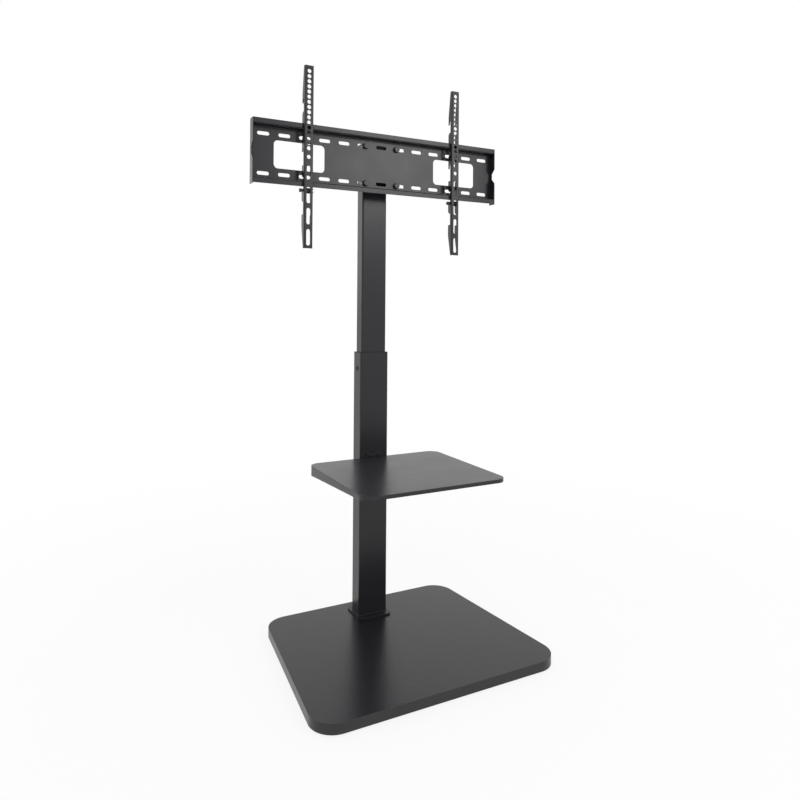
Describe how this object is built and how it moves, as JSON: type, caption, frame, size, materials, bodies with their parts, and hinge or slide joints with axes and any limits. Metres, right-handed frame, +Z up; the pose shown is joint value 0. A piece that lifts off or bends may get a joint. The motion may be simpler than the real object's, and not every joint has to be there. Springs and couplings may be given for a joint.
{
  "type": "television stand with mount",
  "caption": "Free-standing television stand: tapered base board, telescopic column, cantilever shelf and a slotted mount plate with sliding hook-on arms.",
  "frame": {"origin": "middle of the base, on the floor under its pads", "axes": "+Z up, -Y towards whoever watches the screen, +X to that viewer's right"},
  "size_m": [0.66, 0.461, 1.3538],
  "materials": {
    "board": "satin black melamine on fibreboard",
    "edge_band": "satin",
    "powder_coat": "fine-grained satin black powder coat",
    "nylon": "matt",
    "pad_rubber": "matt",
    "black_steel": "black oxide",
    "zinc_steel": "zinc plate"
  },
  "bodies": {
    "base": {"base_board": "board", "base_edge_band": "edge_band", "base_pads": "pad_rubber", "under_plate": "zinc_steel", "foot_plate": "powder_coat", "foot_bolts": "zinc_steel", "foot_washers": "zinc_steel", "lower_tube": "powder_coat", "top_bush": "nylon", "clamp_inserts": "black_steel", "shelf_tray": "powder_coat", "shelf_bracket": "powder_coat", "shelf_screws": "black_steel", "shelf_weld_nuts": "zinc_steel", "tray_nuts": "zinc_steel"},
    "upper_column": {"upper_tube": "powder_coat", "bottom_glide": "nylon", "tube_cap": "nylon", "head_bracket": "powder_coat", "mount_plate": "powder_coat", "head_bolts": "black_steel", "head_washers": "black_steel", "head_nuts": "zinc_steel"},
    "left_arm": {"left_arm": "powder_coat", "left_lock_sleeve": "nylon", "left_lock_nut": "zinc_steel"},
    "right_arm": {"right_arm": "powder_coat", "right_lock_sleeve": "nylon", "right_lock_nut": "zinc_steel"},
    "left_lock_bolt": {"left_lock_bolt": "black_steel"},
    "right_lock_bolt": {"right_lock_bolt": "black_steel"},
    "clamp_screw_left": {"clamp_screw_left": "black_steel"},
    "clamp_screw_right": {"clamp_screw_right": "black_steel"}
  },
  "joints": [
    {"name": "column_height", "type": "slide", "parent": "base", "child": "upper_column", "axis": [0, 0, 1], "range_m": [-0.075, 0.025]},
    {"name": "left_arm_slide", "type": "slide", "parent": "upper_column", "child": "left_arm", "axis": [1, 0, 0], "range_m": [-0.105, 0.15]},
    {"name": "right_arm_slide", "type": "slide", "parent": "upper_column", "child": "right_arm", "axis": [1, 0, 0], "range_m": [-0.15, 0.105]},
    {"name": "left_lock_turn", "type": "hinge", "parent": "left_arm", "child": "left_lock_bolt", "pos_m": [-0.2, 0.0915, 1.0635], "axis": [-1, 0, 0], "range_deg": [0, 720]},
    {"name": "right_lock_turn", "type": "hinge", "parent": "right_arm", "child": "right_lock_bolt", "pos_m": [0.2, 0.0915, 1.0635], "axis": [-1, 0, 0], "range_deg": [0, 720]},
    {"name": "clamp_left_turn", "type": "hinge", "parent": "base", "child": "clamp_screw_left", "pos_m": [-0.036, 0.162, 0.639], "axis": [-1, 0, 0], "range_deg": [0, 720]},
    {"name": "clamp_right_turn", "type": "hinge", "parent": "base", "child": "clamp_screw_right", "pos_m": [0.036, 0.162, 0.639], "axis": [1, 0, 0], "range_deg": [0, 720]}
  ]
}
